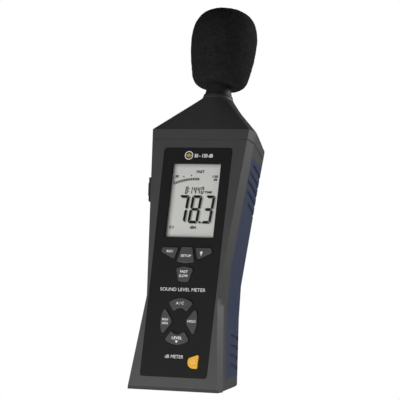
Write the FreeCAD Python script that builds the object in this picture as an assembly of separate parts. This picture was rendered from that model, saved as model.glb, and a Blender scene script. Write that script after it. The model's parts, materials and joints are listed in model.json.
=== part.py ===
import FreeCAD, Part
import math
import os

from FreeCAD import Vector

# Handheld sound level meter, in millimetres.
# Case coordinates: X to the right, Y from the front face to the back, Z up along the case.
# Y = 0 is the front face and Z = 0 is its lower edge.  The parts are written out with the
# origin moved to the mouth of the tripod socket in the middle of the back.

# --- the case ------------------------------------------------------------------------------
CASE_DEPTH = 50.0
WAIST_Z = 61.5
SHOULDER_Z = 178.7
BASE_HALF = 31.4          # half width of the front face at its lower edge
WAIST_HALF = 25.3
SHOULDER_HALF = 35.1
PARTING_Y = 7.2           # the front shell ends and the rear shell starts
BEVEL_UPPER = 2.8         # how far the parting line stands outside the front face's edge
BEVEL_LOWER = 2.0
SIDE_TAPER = 0.8          # the sides close in this much from the parting line to the corner
BACK_RADIUS = 21.6        # the back corners under the head
BACK_SKIM = 0.15          # the flat of the back trims this much off the rounded form
BASE_FRONT_Z = -2.6
BASE_SLOPE = 0.30         # the base rises towards the back
BASE_RADIUS = 1.6         # rounds the rear edges of the base
LIP_SLOPE = -1.5          # the lower edge of the front is chamfered
SEAM_Z = 171.4            # the head meets the two shells, at Y = 0
SEAM_SLOPE = -0.15
FRONT_WALL = 2.4
REAR_WALL = 3.4
BASE_WALL = 2.6
GRIP_THICKNESS = 1.9
GRIP_EDGE = [(7.8, 170.0), (7.8, 86.0), (13.6, 58.0), (13.6, -10.0)]   # its front edge, as y and z
GRIP_BACK_Y = 41.0
GRIP_TOP_Z = 161.0
GRIP_TOP_SLOPE = 0.0
GRIP_BOTTOM_Z = 5.6
GRIP_BOTTOM_SLOPE = 0.29

# --- the head and the microphone -------------------------------------------------------------
MIC_Y = 27.0
NECK_Z = 207.5
NECK_RADIUS = 11.3
ROOF_FOOT_Z = 165.0
ROOF_DROP = 5.0           # how far the inner roof lies under the outer one
MIC_BORE = 6.40
MIC_RADIUS = 6.35
MIC_STEM_RADIUS = 6.0
SLEEVE_Z = 209.6
SLEEVE_TOP_Z = 218.3
MIC_TOP_Z = 250.0
FOAM_BOTTOM_Z = 218.6
FOAM_TOP_Z = 274.6
FOAM_BORE = 6.42

# --- the panel, display and keys ---------------------------------------------------------------
PLATE_THICKNESS = 0.5
PLATE_BOTTOM_Z = 6.7
PLATE_TOP_Z = 165.6
WINDOW_HALF = 17.5
WINDOW_BOTTOM_Z = 102.4
WINDOW_TOP_Z = 154.3
LCD_HALF = 19.5
LCD_BOTTOM_Z = 98.6
LCD_TOP_Z = 156.5
KEY_PROUD = 0.9
KEY_GAP = 0.3
KEY_FLANGE = 0.8
BOARD_Y = 9.5
BOARD_THICKNESS = 1.6
BOARD_BACK_Y = BOARD_Y + BOARD_THICKNESS

# --- the back ------------------------------------------------------------------------------------
SOCKET_Z = 100.0
SOCKET_RADIUS = 2.6       # tapping size of a 1/4 inch camera thread
SOCKET_DEPTH = 9.0
INSERT_RADIUS = 4.6
BATTERY_SIZE = (26.5, 17.5, 48.5)
BATTERY_BOTTOM_Z = 19.6
BATTERY_FRONT_Y = 28.1
BAY_HALF = 14.5
BAY_WALL = 1.5
BAY_FRONT_Y = 27.5
BAY_BOTTOM_Z = 18.4
BAY_TOP_Z = 80.0
DOOR_HALF = 15.2
DOOR_BOTTOM_Z = 16.6
DOOR_TOP_Z = 81.4
DOOR_THICKNESS = 2.4
DOOR_GAP = 0.3
DOOR_EDGE = 1.2           # radius of the door's rounded lower edge
DOOR_HINGE = (48.7, DOOR_BOTTOM_Z + DOOR_GAP + DOOR_EDGE)
DOOR_PIN = 0.55
CASE_SCREWS = [(-21.5, 22.0), (21.5, 22.0), (-24.0, 121.0), (24.0, 121.0)]
HEAD_SCREWS = [(-20.0, 155.0), (20.0, 155.0)]
BOARD_SCREWS = [(-22.2, 12.6), (22.2, 12.6), (-21.0, 68.0), (21.0, 68.0)]
SCREW_HEAD_Y = 41.0
SCREW_SHANK = 1.5
SCREW_HEAD_RADIUS = 2.8

# --- the left side --------------------------------------------------------------------------------
PORT_BOTTOM_Z = 130.0
PORT_TOP_Z = 145.5
PORT_FRONT_Y = 8.0
PORT_BACK_Y = 16.2
COVER_BOTTOM_Z = 129.2
COVER_TOP_Z = 146.2
COVER_FRONT_Y = 7.4
COVER_BACK_Y = 17.4
COVER_THICKNESS = 1.5
COVER_GAP = 0.05
JACK_Z = 134.0
JACK_Y = 13.6
USB_Z = 141.1
DC_Z = 108.0
DC_Y = 14.0
TRIM_Z = 95.0
TRIM_Y = 14.0

# Key outlines on the front face: corner x, corner z, corner radius.
TOP_KEY = [(6.0, 95.2, 0.9), (17.6, 95.2, 1.5), (18.3, 91.9, 1.2), (8.4, 86.8, 1.5)]
SETUP_KEY = [(-3.9, 95.6, 1.0), (3.9, 95.6, 1.0), (6.5, 85.2, 1.2), (0.0, 84.1, 14.0),
             (-6.5, 85.2, 1.2)]
SPEED_KEY = [(-6.2, 80.7, 1.2), (0.0, 82.6, 12.0), (6.2, 80.7, 1.2), (3.9, 71.9, 1.2),
             (0.0, 71.2, 9.0), (-3.9, 71.9, 1.2)]
UPPER_PAD_KEY = [(-9.0, 57.2, 1.6), (0.0, 62.6, 13.0), (9.0, 57.2, 1.6), (4.6, 50.9, 1.2),
                 (0.0, 54.9, 4.5), (-4.6, 50.9, 1.2)]
SIDE_PAD_KEY = [(11.2, 54.2, 1.4), (14.0, 44.4, 20.0), (11.2, 34.6, 1.4), (4.2, 44.4, 3.2)]
POWER_KEY = [(16.9, 22.8, 1.0), (16.5, 13.1, 0.9), (9.5, 13.1, 4.1), (9.2, 19.8, 2.2)]
PAD_CENTRE_Z = 44.5


def mirror_x(outline):
    return [(-x, z, r) for x, z, r in outline]


def flip_z(outline, centre):
    return [(x, 2 * centre - z, r) for x, z, r in outline]


KEYS = {
    "key_record": mirror_x(TOP_KEY),
    "key_setup": SETUP_KEY,
    "key_backlight": TOP_KEY,
    "key_fast_slow": SPEED_KEY,
    "key_weighting": UPPER_PAD_KEY,
    "key_max_min": mirror_x(SIDE_PAD_KEY),
    "key_hold": SIDE_PAD_KEY,
    "key_level": flip_z(UPPER_PAD_KEY, PAD_CENTRE_Z),
    "key_power": POWER_KEY,
}
KEY_CENTRES = {
    "key_record": (-11.4, 91.8), "key_setup": (0.0, 90.2), "key_backlight": (11.4, 91.8),
    "key_fast_slow": (0.0, 76.8), "key_weighting": (0.0, 57.2), "key_max_min": (-9.6, 44.4),
    "key_hold": (9.6, 44.4), "key_level": (0.0, 31.8), "key_power": (13.4, 17.4),
}


# --- plain solids ------------------------------------------------------------------------------
def box(x0, x1, y0, y1, z0, z1):
    return Part.makeBox(x1 - x0, y1 - y0, z1 - z0, Vector(x0, y0, z0))


def rod_x(x0, x1, y, z, radius):
    return Part.makeCylinder(radius, x1 - x0, Vector(x0, y, z), Vector(1, 0, 0))


def rod_y(x, z, y0, y1, radius):
    return Part.makeCylinder(radius, y1 - y0, Vector(x, y0, z), Vector(0, 1, 0))


def rod_z(x, y, z0, z1, radius):
    return Part.makeCylinder(radius, z1 - z0, Vector(x, y, z0), Vector(0, 0, 1))


def join(first, *others):
    return first.fuse(list(others)).removeSplitter()


def above(z_at_front, slope):
    """Everything above the plane z = z_at_front + slope * y."""
    near, far, top, half = -60.0, 120.0, 400.0, 120.0
    corners = [(near, z_at_front + near * slope), (far, z_at_front + far * slope), (far, top), (near, top)]
    points = [Vector(-half, y, z) for y, z in corners]
    wire = Part.makePolygon(points + points[:1])
    return Part.Face(wire).extrude(Vector(2 * half, 0, 0))


def rounded_wire(outline, y):
    """A closed wire in the plane Y = y, with a tangent arc at every corner."""
    count = len(outline)
    corners = [Vector(x, y, z) for x, z, _ in outline]
    arcs = []
    for i, (_, _, radius) in enumerate(outline):
        corner = corners[i]
        back = (corners[i - 1] - corner).normalize()
        ahead = (corners[(i + 1) % count] - corner).normalize()
        half_angle = back.getAngle(ahead) / 2
        reach = radius / math.tan(half_angle)
        middle = (back + ahead).normalize() * (radius / math.sin(half_angle) - radius)
        arcs.append((corner + back * reach, corner + middle, corner + ahead * reach))
    edges = []
    for i, (start, middle, end) in enumerate(arcs):
        edges.append(Part.LineSegment(arcs[i - 1][2], start).toShape())
        edges.append(Part.Arc(start, middle, end).toShape())
    return Part.Wire(edges)


def plate(outline, y0, y1, grow=0.0):
    """The outline as a slab from y0 to y1, grown outwards all round."""
    face = Part.Face(rounded_wire(outline, y0))
    if grow:
        face = face.makeOffset2D(grow)
    return face.extrude(Vector(0, y1 - y0, 0))


# --- the case's outer form -----------------------------------------------------------------------
def waisted(z, base, waist):
    """A half width that narrows from base to waist and widens again above it."""
    lower = base - (BASE_HALF - WAIST_HALF) / WAIST_Z * z
    upper = waist + (SHOULDER_HALF - WAIST_HALF) / (SHOULDER_Z - WAIST_Z) * (z - WAIST_Z)
    return max(lower, upper)


def front_half(z):
    return waisted(z, BASE_HALF, WAIST_HALF)


def side_half(z):
    return waisted(z, BASE_HALF + BEVEL_LOWER, WAIST_HALF + BEVEL_UPPER)


def side_crease_z():
    """The height where the lower and upper halves of a side meet, just under the waist."""
    slope_low = (BASE_HALF - WAIST_HALF) / WAIST_Z
    slope_high = (SHOULDER_HALF - WAIST_HALF) / (SHOULDER_Z - WAIST_Z)
    return WAIST_Z - (BEVEL_UPPER - BEVEL_LOWER) / (slope_low + slope_high)


# The back corners' radius at heights up the case: tightest just under the waist.
BACK_RADII = [
    (-12.0, 15.0), (side_crease_z(), 10.0), (78.0, 18.8), (145.0, BACK_RADIUS), (215.0, BACK_RADIUS),
]


def back_radius(z):
    """The back corners' radius, in straight runs between the heights of BACK_RADII."""
    for (z0, r0), (z1, r1) in zip(BACK_RADII, BACK_RADII[1:]):
        if z <= z1:
            return r0 + (r1 - r0) * (z - z0) / (z1 - z0)
    return BACK_RADIUS


def back_corner_y(z):
    return CASE_DEPTH + BACK_SKIM - back_radius(z)


def inset_corner(before, corner, after, inset):
    """The corner of an outline moved inwards, the same distance from both its edges."""
    first = (corner - before).normalize()
    second = (after - corner).normalize()
    normal_a = Vector(-first.y, first.x, 0)
    normal_b = Vector(-second.y, second.x, 0)
    return corner + (normal_a + normal_b) * (inset / (1 + normal_a.dot(normal_b)))


def section(z, inset):
    """The case's outline at one height: front, bevel, side and rounded back corner."""
    side = side_half(z)
    corner = side - SIDE_TAPER
    corner_y = back_corner_y(z)
    outline = [
        Vector(0, 0, z), Vector(front_half(z), 0, z), Vector(side, PARTING_Y, z),
        Vector(corner, corner_y, z), Vector(corner, 2 * CASE_DEPTH, z),
    ]
    right = [inset_corner(outline[i - 1], outline[i], outline[i + 1], inset) for i in range(1, 4)]
    radius = back_radius(z) - inset
    centre = Vector(corner - back_radius(z), corner_y, z)
    right[2] = centre + Vector(radius, 0, 0)
    diagonal = radius * math.sqrt(0.5)
    middle = centre + Vector(diagonal, diagonal, 0)
    end = centre + Vector(0, radius, 0)
    left = [Vector(-p.x, p.y, p.z) for p in right]
    left_middle = Vector(-middle.x, middle.y, z)
    left_end = Vector(-end.x, end.y, z)
    edges = [Part.LineSegment(left[0], right[0])]
    edges += [Part.LineSegment(right[i], right[i + 1]) for i in range(2)]
    edges += [Part.Arc(right[2], middle, end), Part.LineSegment(end, left_end)]
    edges += [Part.Arc(left_end, left_middle, left[2])]
    edges += [Part.LineSegment(left[i + 1], left[i]) for i in (1, 0)]
    return Part.Wire([edge.toShape() for edge in edges])


def case_form(inset):
    """The waisted prism of the whole case, from under the base to over the neck."""
    heights = sorted([z for z, _ in BACK_RADII] + [WAIST_Z])
    prism = Part.makeLoft([section(z, inset) for z in heights], True, True)
    return prism.common(box(-60, 60, -10, CASE_DEPTH - inset, -12, 215))


def neck_point(angle, z):
    turn = math.radians(angle)
    return Vector(NECK_RADIUS * math.sin(turn), MIC_Y - NECK_RADIUS * math.cos(turn), z)


def roof_foot(x, y, z, angle):
    """Extends the line from the neck through a point of the shoulder's crease down to the foot."""
    top = neck_point(angle, NECK_Z)
    share = (NECK_Z - z) / (NECK_Z - ROOF_FOOT_Z)
    return top + (Vector(x, y, z) - top) * (1 / share)


def roof_form():
    """The sloping head: straight edges at the shoulder drawn together into the round neck."""
    corner = SHOULDER_HALF + BEVEL_UPPER - SIDE_TAPER
    diagonal = BACK_RADIUS * math.sqrt(0.5)
    corner_y = CASE_DEPTH - BACK_RADIUS
    crease = [
        (SHOULDER_HALF, 0.0, SHOULDER_Z, 42),
        (SHOULDER_HALF + BEVEL_UPPER, PARTING_Y, SHOULDER_Z, 62),
        (corner, corner_y, 173.0, 92),
        (corner - BACK_RADIUS + diagonal, corner_y + diagonal, 171.0, 122),
        (corner - BACK_RADIUS, CASE_DEPTH, 169.5, 150),
    ]
    foot = [roof_foot(*entry) for entry in crease]
    neck = [neck_point(entry[3], NECK_Z) for entry in crease]
    foot_front = roof_foot(0.0, 0.0, SHOULDER_Z, 0)
    wires = [roof_wire(foot, foot_front, False), roof_wire(neck, neck_point(0, NECK_Z), True)]
    return Part.makeLoft(wires, True, True)


def roof_wire(right, front, is_round):
    left = [Vector(-p.x, p.y, p.z) for p in right]

    def edge(a, b):
        if not is_round:
            return Part.LineSegment(a, b).toShape()
        axis = Vector(0, MIC_Y, a.z)
        middle = ((a + b) * 0.5 - axis).normalize() * NECK_RADIUS + axis
        return Part.Arc(a, middle, b).toShape()

    edges = [Part.Arc(left[0], front, right[0]).toShape()]
    edges += [edge(right[0], right[1]), edge(right[1], right[2])]
    edges += [Part.Arc(right[2], right[3], right[4]).toShape(), edge(right[4], left[4])]
    edges += [Part.Arc(left[4], left[3], left[2]).toShape()]
    edges += [edge(left[2], left[1]), edge(left[1], left[0])]
    return Part.Wire(edges)


def based_form():
    """The whole case down to its slanting base, rounded along the base's side and rear edges."""
    form = FORM.common(ABOVE_BASE)
    rear_edges = []
    for edge in form.Edges:
        points = [vertex.Point for vertex in edge.Vertexes]
        on_base = all(abs(p.z - BASE_FRONT_Z - BASE_SLOPE * p.y) < 0.001 for p in points)
        if on_base and max(p.y for p in points) > PARTING_Y + 0.1:
            rear_edges.append(edge)
    return form.makeFillet(BASE_RADIUS, rear_edges)


FORM = case_form(0.0)
FRONT_CAVITY = case_form(FRONT_WALL)
REAR_CAVITY = case_form(REAR_WALL)
ABOVE_BASE = above(BASE_FRONT_Z, BASE_SLOPE)
ABOVE_FLOOR = above(BASE_FRONT_Z + BASE_WALL, BASE_SLOPE)
ABOVE_SEAM = above(SEAM_Z, SEAM_SLOPE)
BASED_FORM = based_form()


def band(outer_inset, inner_inset):
    """The skin of the case between two depths below its surface."""
    return case_form(outer_inset).cut(case_form(inner_inset))


# --- shells ----------------------------------------------------------------------------------------
def plate_outline():
    """The panel's corners follow the front face's edges at a fixed margin."""
    return [
        (-23.8, PLATE_BOTTOM_Z, 2.0), (-24.0, WAIST_Z + 6.0, 60.0), (-24.9, PLATE_TOP_Z, 2.5),
        (24.9, PLATE_TOP_Z, 2.5), (24.0, WAIST_Z + 6.0, 60.0), (23.8, PLATE_BOTTOM_Z, 2.0),
    ]


def window_box(grow, y0, y1):
    return box(-WINDOW_HALF - grow, WINDOW_HALF + grow, y0, y1, WINDOW_BOTTOM_Z - grow, WINDOW_TOP_Z + grow)


def key_holes(y0, y1):
    return [plate(outline, y0, y1, KEY_GAP) for outline in KEYS.values()]


def front_shell():
    shell = FORM.common(ABOVE_BASE).cut(ABOVE_SEAM)
    shell = shell.common(box(-60, 60, -1, PARTING_Y, -40, 200))
    hollow = FRONT_CAVITY.common(ABOVE_FLOOR).common(box(-60, 60, -1, PARTING_Y + 1, -40, 200))
    shell = shell.cut(hollow)
    shell = shell.common(above(0.0, LIP_SLOPE))
    shell = shell.cut(plate(plate_outline(), -1, PLATE_THICKNESS))
    posts = [rod_y(x, z, 1.5, 11.8, 3.2) for x, z in CASE_SCREWS]
    posts += [rod_y(x, z, 1.5, BOARD_Y, 2.6) for x, z in BOARD_SCREWS]
    shell = join(shell, *posts)
    holes = [rod_y(x, z, 5.0, 12.0, SCREW_SHANK) for x, z in CASE_SCREWS]
    holes += [rod_y(x, z, 4.0, BOARD_Y + 1, 1.1) for x, z in BOARD_SCREWS]
    holes += [window_box(0.0, -1, FRONT_WALL + 1), window_box(1.1, PLATE_THICKNESS, 1.5)]
    holes += key_holes(-1, FRONT_WALL + 1)
    return shell.cut(holes)


def grip_region(side):
    """The side field that the grip fills, on the right for side = 1."""
    corners = [Vector(0, y, z) for y, z in GRIP_EDGE + [(GRIP_BACK_Y, -10.0), (GRIP_BACK_Y, 170.0)]]
    field = Part.Face(Part.makePolygon(corners + corners[:1])).extrude(Vector(60, 0, 0))
    field = field.common(above(GRIP_BOTTOM_Z, GRIP_BOTTOM_SLOPE)).cut(above(GRIP_TOP_Z, GRIP_TOP_SLOPE))
    field = field.common(band(-1.0, GRIP_THICKNESS))
    return field if side > 0 else field.mirror(Vector(0, 0, 0), Vector(1, 0, 0))


def left_side_cuts(grow):
    """Openings through the left wall for the two sockets, the power inlet and the trimmer."""
    return [
        box(-60, -24, PORT_FRONT_Y, PORT_BACK_Y, PORT_BOTTOM_Z, PORT_TOP_Z),
        rod_x(-60, -24, DC_Y, DC_Z, 4.0 + grow),
        rod_x(-60, -24, TRIM_Y, TRIM_Z, 2.0 + grow),
    ]


def battery_bay():
    walls = box(-BAY_HALF - BAY_WALL, BAY_HALF + BAY_WALL, BAY_FRONT_Y - BAY_WALL, CASE_DEPTH,
                BAY_BOTTOM_Z - BAY_WALL, BAY_TOP_Z + BAY_WALL)
    return walls.common(case_form(0.5)).common(ABOVE_BASE)


def rear_shell():
    shell = BASED_FORM.cut(ABOVE_SEAM)
    shell = shell.common(box(-60, 60, PARTING_Y, 60, -40, 200))
    shell = shell.cut(REAR_CAVITY.common(ABOVE_FLOOR))
    added = [battery_bay()]
    inside = FORM.common(box(-60, 60, PARTING_Y, 60, -40, 200))
    added += [rod_y(x, z, 11.8, 60, 4.0).common(inside) for x, z in CASE_SCREWS]
    added += [rod_y(x, z, 24.4, 60, 4.0).common(inside) for x, z in HEAD_SCREWS]
    added += [rod_y(0, SOCKET_Z, CASE_DEPTH - SOCKET_DEPTH - 2.0, CASE_DEPTH - 1, INSERT_RADIUS + 3.0)]
    shell = join(shell, *added)
    cuts = [grip_region(1), grip_region(-1), *left_side_cuts(0.0)]
    cuts += [rod_y(x, z, SCREW_HEAD_Y, 60, SCREW_HEAD_RADIUS + 0.3) for x, z in CASE_SCREWS + HEAD_SCREWS]
    cuts += [rod_y(x, z, 5, 60, SCREW_SHANK) for x, z in CASE_SCREWS + HEAD_SCREWS]
    cuts += [rod_y(0, SOCKET_Z, CASE_DEPTH - SOCKET_DEPTH, 60, INSERT_RADIUS)]
    cuts += [box(-BAY_HALF, BAY_HALF, BAY_FRONT_Y, 60, BAY_BOTTOM_Z, BAY_TOP_Z)]
    door_field = box(-DOOR_HALF, DOOR_HALF, 30, 60, DOOR_BOTTOM_Z, DOOR_TOP_Z)
    cuts += [door_field.cut(case_form(DOOR_THICKNESS + 0.1))]
    cuts += [rod_x(-DOOR_HALF - 1.4, DOOR_HALF + 1.4, *DOOR_HINGE, DOOR_PIN + 0.1)]
    cuts += [box(-3, 3, BAY_FRONT_Y - 3, BAY_FRONT_Y + 1, 72, 77)]
    return shell.cut(cuts)


def grip_grooves(width):
    """Finger grooves: five slanting ones high on the grip and four low on its rear edge."""
    upper = [(159.2 - 6.45 * i, -0.16, y) for i, y in enumerate((15.5, 13.0, 11.0, 13.5, 19.0))]
    lower = [(38.1 - 6.7 * i, 0.1, 25.0) for i in range(4)]
    grooves = []
    for z, slope, first_y in upper + lower:
        slab = above(z - width / 2, slope).cut(above(z + width / 2, slope))
        grooves.append(slab.common(box(-60, 60, first_y - width / 2, 60, -20, 200)))
    return grooves


def grip(side):
    skin = grip_region(side).common(FORM)
    for width, depth in ((3.0, 0.45), (1.8, 0.95)):
        outer_skin = band(-1.0, depth)
        skin = skin.cut([groove.common(outer_skin) for groove in grip_grooves(width)])
    return skin if side > 0 else skin.cut(left_side_cuts(0.4))


def head_cap():
    roof = roof_form()
    cap = FORM.common(roof).common(ABOVE_SEAM)
    inner = roof.copy()
    inner.translate(Vector(0, 0, -ROOF_DROP))
    hollow = FRONT_CAVITY.common(inner.fuse(box(-60, 60, -10, 60, 150, SEAM_Z + 1)))
    lugs = [box(x - 5, x + 5, 17, 24, 150.5, 186) for x, _ in HEAD_SCREWS]
    webs = [box(-40, -20, 19, 22, 168.6, 186), box(20, 40, 19, 22, 168.6, 186)]
    # The lugs hang down inside the rear shell, and the webs carry them on the head's walls.
    fill = join(lugs[0], lugs[1], *webs).common(FORM).common(roof)
    below = fill.cut(ABOVE_SEAM).common(case_form(REAR_WALL + 0.3))
    cap = join(cap.cut(hollow), fill.common(ABOVE_SEAM), below)
    groove = band(-1.0, 0.45).cut(above(SEAM_Z + 0.6, SEAM_SLOPE))
    cap = cap.cut(groove.common(box(-60, 60, -5, 60, 150, 190)))
    holes = [rod_y(x, z, 16, 25, SCREW_SHANK) for x, z in HEAD_SCREWS]
    return cap.cut([rod_z(0, MIC_Y, 190, 215, MIC_BORE)] + holes)


def battery_door():
    gap = DOOR_GAP
    field = box(-DOOR_HALF + gap, DOOR_HALF - gap, 30, 60, DOOR_BOTTOM_Z + gap, DOOR_TOP_Z - gap)
    door = field.common(band(0.0, DOOR_THICKNESS)).cut(box(-60, 60, 30, 60, 0, DOOR_HINGE[1]))
    edge = rod_x(-DOOR_HALF + gap, DOOR_HALF - gap, *DOOR_HINGE, DOOR_EDGE).common(FORM)
    pin = rod_x(-DOOR_HALF - 1.2, DOOR_HALF + 1.2, *DOOR_HINGE, DOOR_PIN)
    ribs = [rod_x(-7, 7, CASE_DEPTH - 0.6, DOOR_TOP_Z - 12 + 2.4 * i, 0.7) for i in range(4)]
    thumb = box(-9, 9, CASE_DEPTH - 0.9, 60, DOOR_TOP_Z - 14.5, DOOR_TOP_Z - 2.4)
    ribs = [rib.common(box(-8, 8, 40, CASE_DEPTH - 0.1, 0, 100)) for rib in ribs]
    return join(door.cut(thumb), edge, pin, *ribs)


# --- front panel parts --------------------------------------------------------------------------
def faceplate():
    sheet = plate(plate_outline(), 0.0, PLATE_THICKNESS, -0.05)
    return sheet.cut([window_box(0.0, -1, 2)] + key_holes(-1, 2))


def display_lens():
    return window_box(1.0, PLATE_THICKNESS, 1.45)


def lcd_glass():
    front = box(-LCD_HALF, LCD_HALF, FRONT_WALL, FRONT_WALL + 1.1, LCD_BOTTOM_Z, LCD_TOP_Z)
    rear = box(-LCD_HALF, LCD_HALF, FRONT_WALL + 1.1, FRONT_WALL + 2.2, LCD_BOTTOM_Z + 2.5, LCD_TOP_Z)
    return front.fuse(rear).removeSplitter()


def backlight():
    y = FRONT_WALL + 2.2
    panel = box(-LCD_HALF + 0.3, LCD_HALF - 0.3, y, y + 3.0, LCD_BOTTOM_Z + 4.6, LCD_TOP_Z - 0.3)
    leads = [box(x - 0.4, x + 0.4, y + 1.0, BOARD_Y, LCD_TOP_Z - 2, LCD_TOP_Z - 1.2) for x in (-6, 6)]
    return join(panel, *leads)


def lcd_frame():
    rim = box(-LCD_HALF - 1.2, LCD_HALF + 1.2, FRONT_WALL, BOARD_Y, LCD_BOTTOM_Z - 1.2, LCD_TOP_Z + 1.2)
    opening = box(-LCD_HALF - 0.05, LCD_HALF + 0.05, 0, 20, LCD_BOTTOM_Z - 0.05, LCD_TOP_Z + 0.05)
    return rim.cut(opening)


def zebra_strip():
    half = LCD_HALF - 2
    return box(-half, half, FRONT_WALL + 1.1, BOARD_Y, LCD_BOTTOM_Z + 0.2, LCD_BOTTOM_Z + 2.4)


def key(outline, centre):
    cap = plate(outline, -KEY_PROUD, FRONT_WALL + 0.4)
    top_edges = [e for e in cap.Edges if all(abs(v.Point.y + KEY_PROUD) < 1e-6 for v in e.Vertexes)]
    cap = cap.makeFillet(0.55, top_edges)
    flange = plate(outline, FRONT_WALL + 0.4, FRONT_WALL + 1.3, KEY_FLANGE)
    stem = rod_y(centre[0], centre[1], FRONT_WALL + 1.2, 4.5, 1.5)
    return join(cap, flange, stem)


def key_switches():
    switches = []
    for x, z in KEY_CENTRES.values():
        body = box(x - 3, x + 3, 6.5, BOARD_Y, z - 3, z + 3)
        switches.append(body.fuse(rod_y(x, z, 5.4, 6.6, 1.6)).removeSplitter())
    return Part.makeCompound(switches)


def main_board():
    corners = [(-27.5, 7.5), (-22.6, 66), (-30.0, 162), (30.0, 162), (22.6, 66), (27.5, 7.5)]
    sheet = plate([(x, z, 2.0) for x, z in corners], BOARD_Y, BOARD_BACK_Y)
    holes = [rod_y(x, z, 5, 20, 4.3) for x, z in CASE_SCREWS]
    holes += [rod_y(x, z, 5, 20, 1.3) for x, z in BOARD_SCREWS]
    return sheet.cut(holes)


def board_chips():
    """Processor, memory, converter, regulator, crystal and capacitors on the back of the board."""
    y = BOARD_BACK_Y
    chips = [
        box(-7, 7, y, y + 1.6, 120, 134), box(-6, 0, y, y + 1.5, 104, 112),
        box(4, 9, y, y + 1.5, 104, 110), box(10, 16, y, y + 1.4, 88, 96),
        box(-12, -8, y, y + 1.5, 140, 144), box(8, 18, y, y + 3.6, 139, 143),
        rod_y(12, 78, y, y + 6.0, 3.0), rod_y(-14, 84, y, y + 6.0, 3.0),
        rod_y(5, 148, y, y + 5.0, 2.5),
    ]
    return Part.makeCompound(chips)


# --- screws ----------------------------------------------------------------------------------------
def screw(x, z, head_y, tip_y, shank, head):
    body = rod_y(x, z, tip_y, head_y, shank)
    cap = rod_y(x, z, head_y, head_y + 2.0, head)
    slots = [box(x - 1.6, x + 1.6, head_y + 1.0, head_y + 3, z - 0.35, z + 0.35),
             box(x - 0.35, x + 0.35, head_y + 1.0, head_y + 3, z - 1.6, z + 1.6)]
    return body.fuse(cap).removeSplitter().cut(slots)


def case_screws():
    return Part.makeCompound([screw(x, z, SCREW_HEAD_Y, 5.2, SCREW_SHANK, SCREW_HEAD_RADIUS)
                              for x, z in CASE_SCREWS])


def head_screws():
    return Part.makeCompound([screw(x, z, SCREW_HEAD_Y, 17.5, SCREW_SHANK, SCREW_HEAD_RADIUS)
                              for x, z in HEAD_SCREWS])


def board_screws():
    return Part.makeCompound([screw(x, z, BOARD_BACK_Y, 4.2, 1.1, 2.2) for x, z in BOARD_SCREWS])


# --- power ---------------------------------------------------------------------------------------------
def battery():
    width, depth, height = BATTERY_SIZE
    z0 = BATTERY_BOTTOM_Z
    body = box(-width / 2, width / 2, BATTERY_FRONT_Y, BATTERY_FRONT_Y + depth, z0, z0 + height - 2.5)
    upright = [e for e in body.Edges if abs(e.tangentAt(e.FirstParameter).z) > 0.9]
    body = body.makeFillet(1.8, upright)
    middle = BATTERY_FRONT_Y + depth / 2
    posts = [rod_z(-6.35, middle, z0 + height - 2.6, z0 + height, 2.9),
             rod_z(6.35, middle, z0 + height - 2.6, z0 + height, 3.6)]
    return join(body, *posts)


def battery_snap():
    width, depth, height = BATTERY_SIZE
    z0 = BATTERY_BOTTOM_Z + height
    middle = BATTERY_FRONT_Y + depth / 2
    strip = box(-width / 2 + 0.5, width / 2 - 0.5, middle - 6, middle + 6, z0, z0 + 3.6)
    return strip


def lead(points, radius, bend):
    """A round wire along straight runs joined by tangent arcs."""
    edges = []
    start = points[0]
    for before, corner, after in zip(points, points[1:], points[2:]):
        back = (before - corner).normalize()
        ahead = (after - corner).normalize()
        half_angle = back.getAngle(ahead) / 2
        reach = bend / math.tan(half_angle)
        middle = (back + ahead).normalize() * (bend / math.sin(half_angle) - bend)
        edges.append(Part.LineSegment(start, corner + back * reach).toShape())
        edges.append(Part.Arc(corner + back * reach, corner + middle, corner + ahead * reach).toShape())
        start = corner + ahead * reach
    edges.append(Part.LineSegment(start, points[-1]).toShape())
    path = Part.Wire(edges)
    ring = Part.Wire(Part.makeCircle(radius, points[0], points[1] - points[0]))
    return path.makePipeShell([ring], True, False)


def battery_leads():
    """Two wires from the battery snap, through the bay's front wall, to the board."""
    top = BATTERY_BOTTOM_Z + BATTERY_SIZE[2] + 1.8
    snap_y = BATTERY_FRONT_Y + BATTERY_SIZE[1] / 2 - 6
    wires = []
    for x in (-1.4, 1.4):
        route = [Vector(x, snap_y, top), Vector(x, snap_y - 2.2, top), Vector(x, snap_y - 2.2, top + 4.6),
                 Vector(x, BAY_FRONT_Y - 6, top + 4.6), Vector(x, BAY_FRONT_Y - 6, top + 14),
                 Vector(x, BOARD_BACK_Y, top + 14)]
        wires.append(lead(route, 0.7, 1.0))
    return Part.makeCompound(wires)


def tripod_insert():
    sleeve = rod_y(0, SOCKET_Z, CASE_DEPTH - SOCKET_DEPTH, CASE_DEPTH, INSERT_RADIUS)
    return sleeve.cut(rod_y(0, SOCKET_Z, CASE_DEPTH - SOCKET_DEPTH + 1, CASE_DEPTH + 1, SOCKET_RADIUS))


# --- left side ---------------------------------------------------------------------------------------
def port_cover():
    """The rubber flap: a sheet on the case's side, a pull lip in front and a round bead behind."""
    field = box(-60, 0, COVER_FRONT_Y, COVER_BACK_Y, COVER_BOTTOM_Z, COVER_TOP_Z)
    cover = field.common(band(-COVER_THICKNESS, -COVER_GAP))
    lip = box(-60, 0, COVER_FRONT_Y, COVER_FRONT_Y + 1.4, COVER_BOTTOM_Z + 4, COVER_TOP_Z - 4)
    lip = lip.common(band(-COVER_THICKNESS - 0.4, -COVER_GAP))
    return join(cover, lip, cover_bead())


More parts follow.
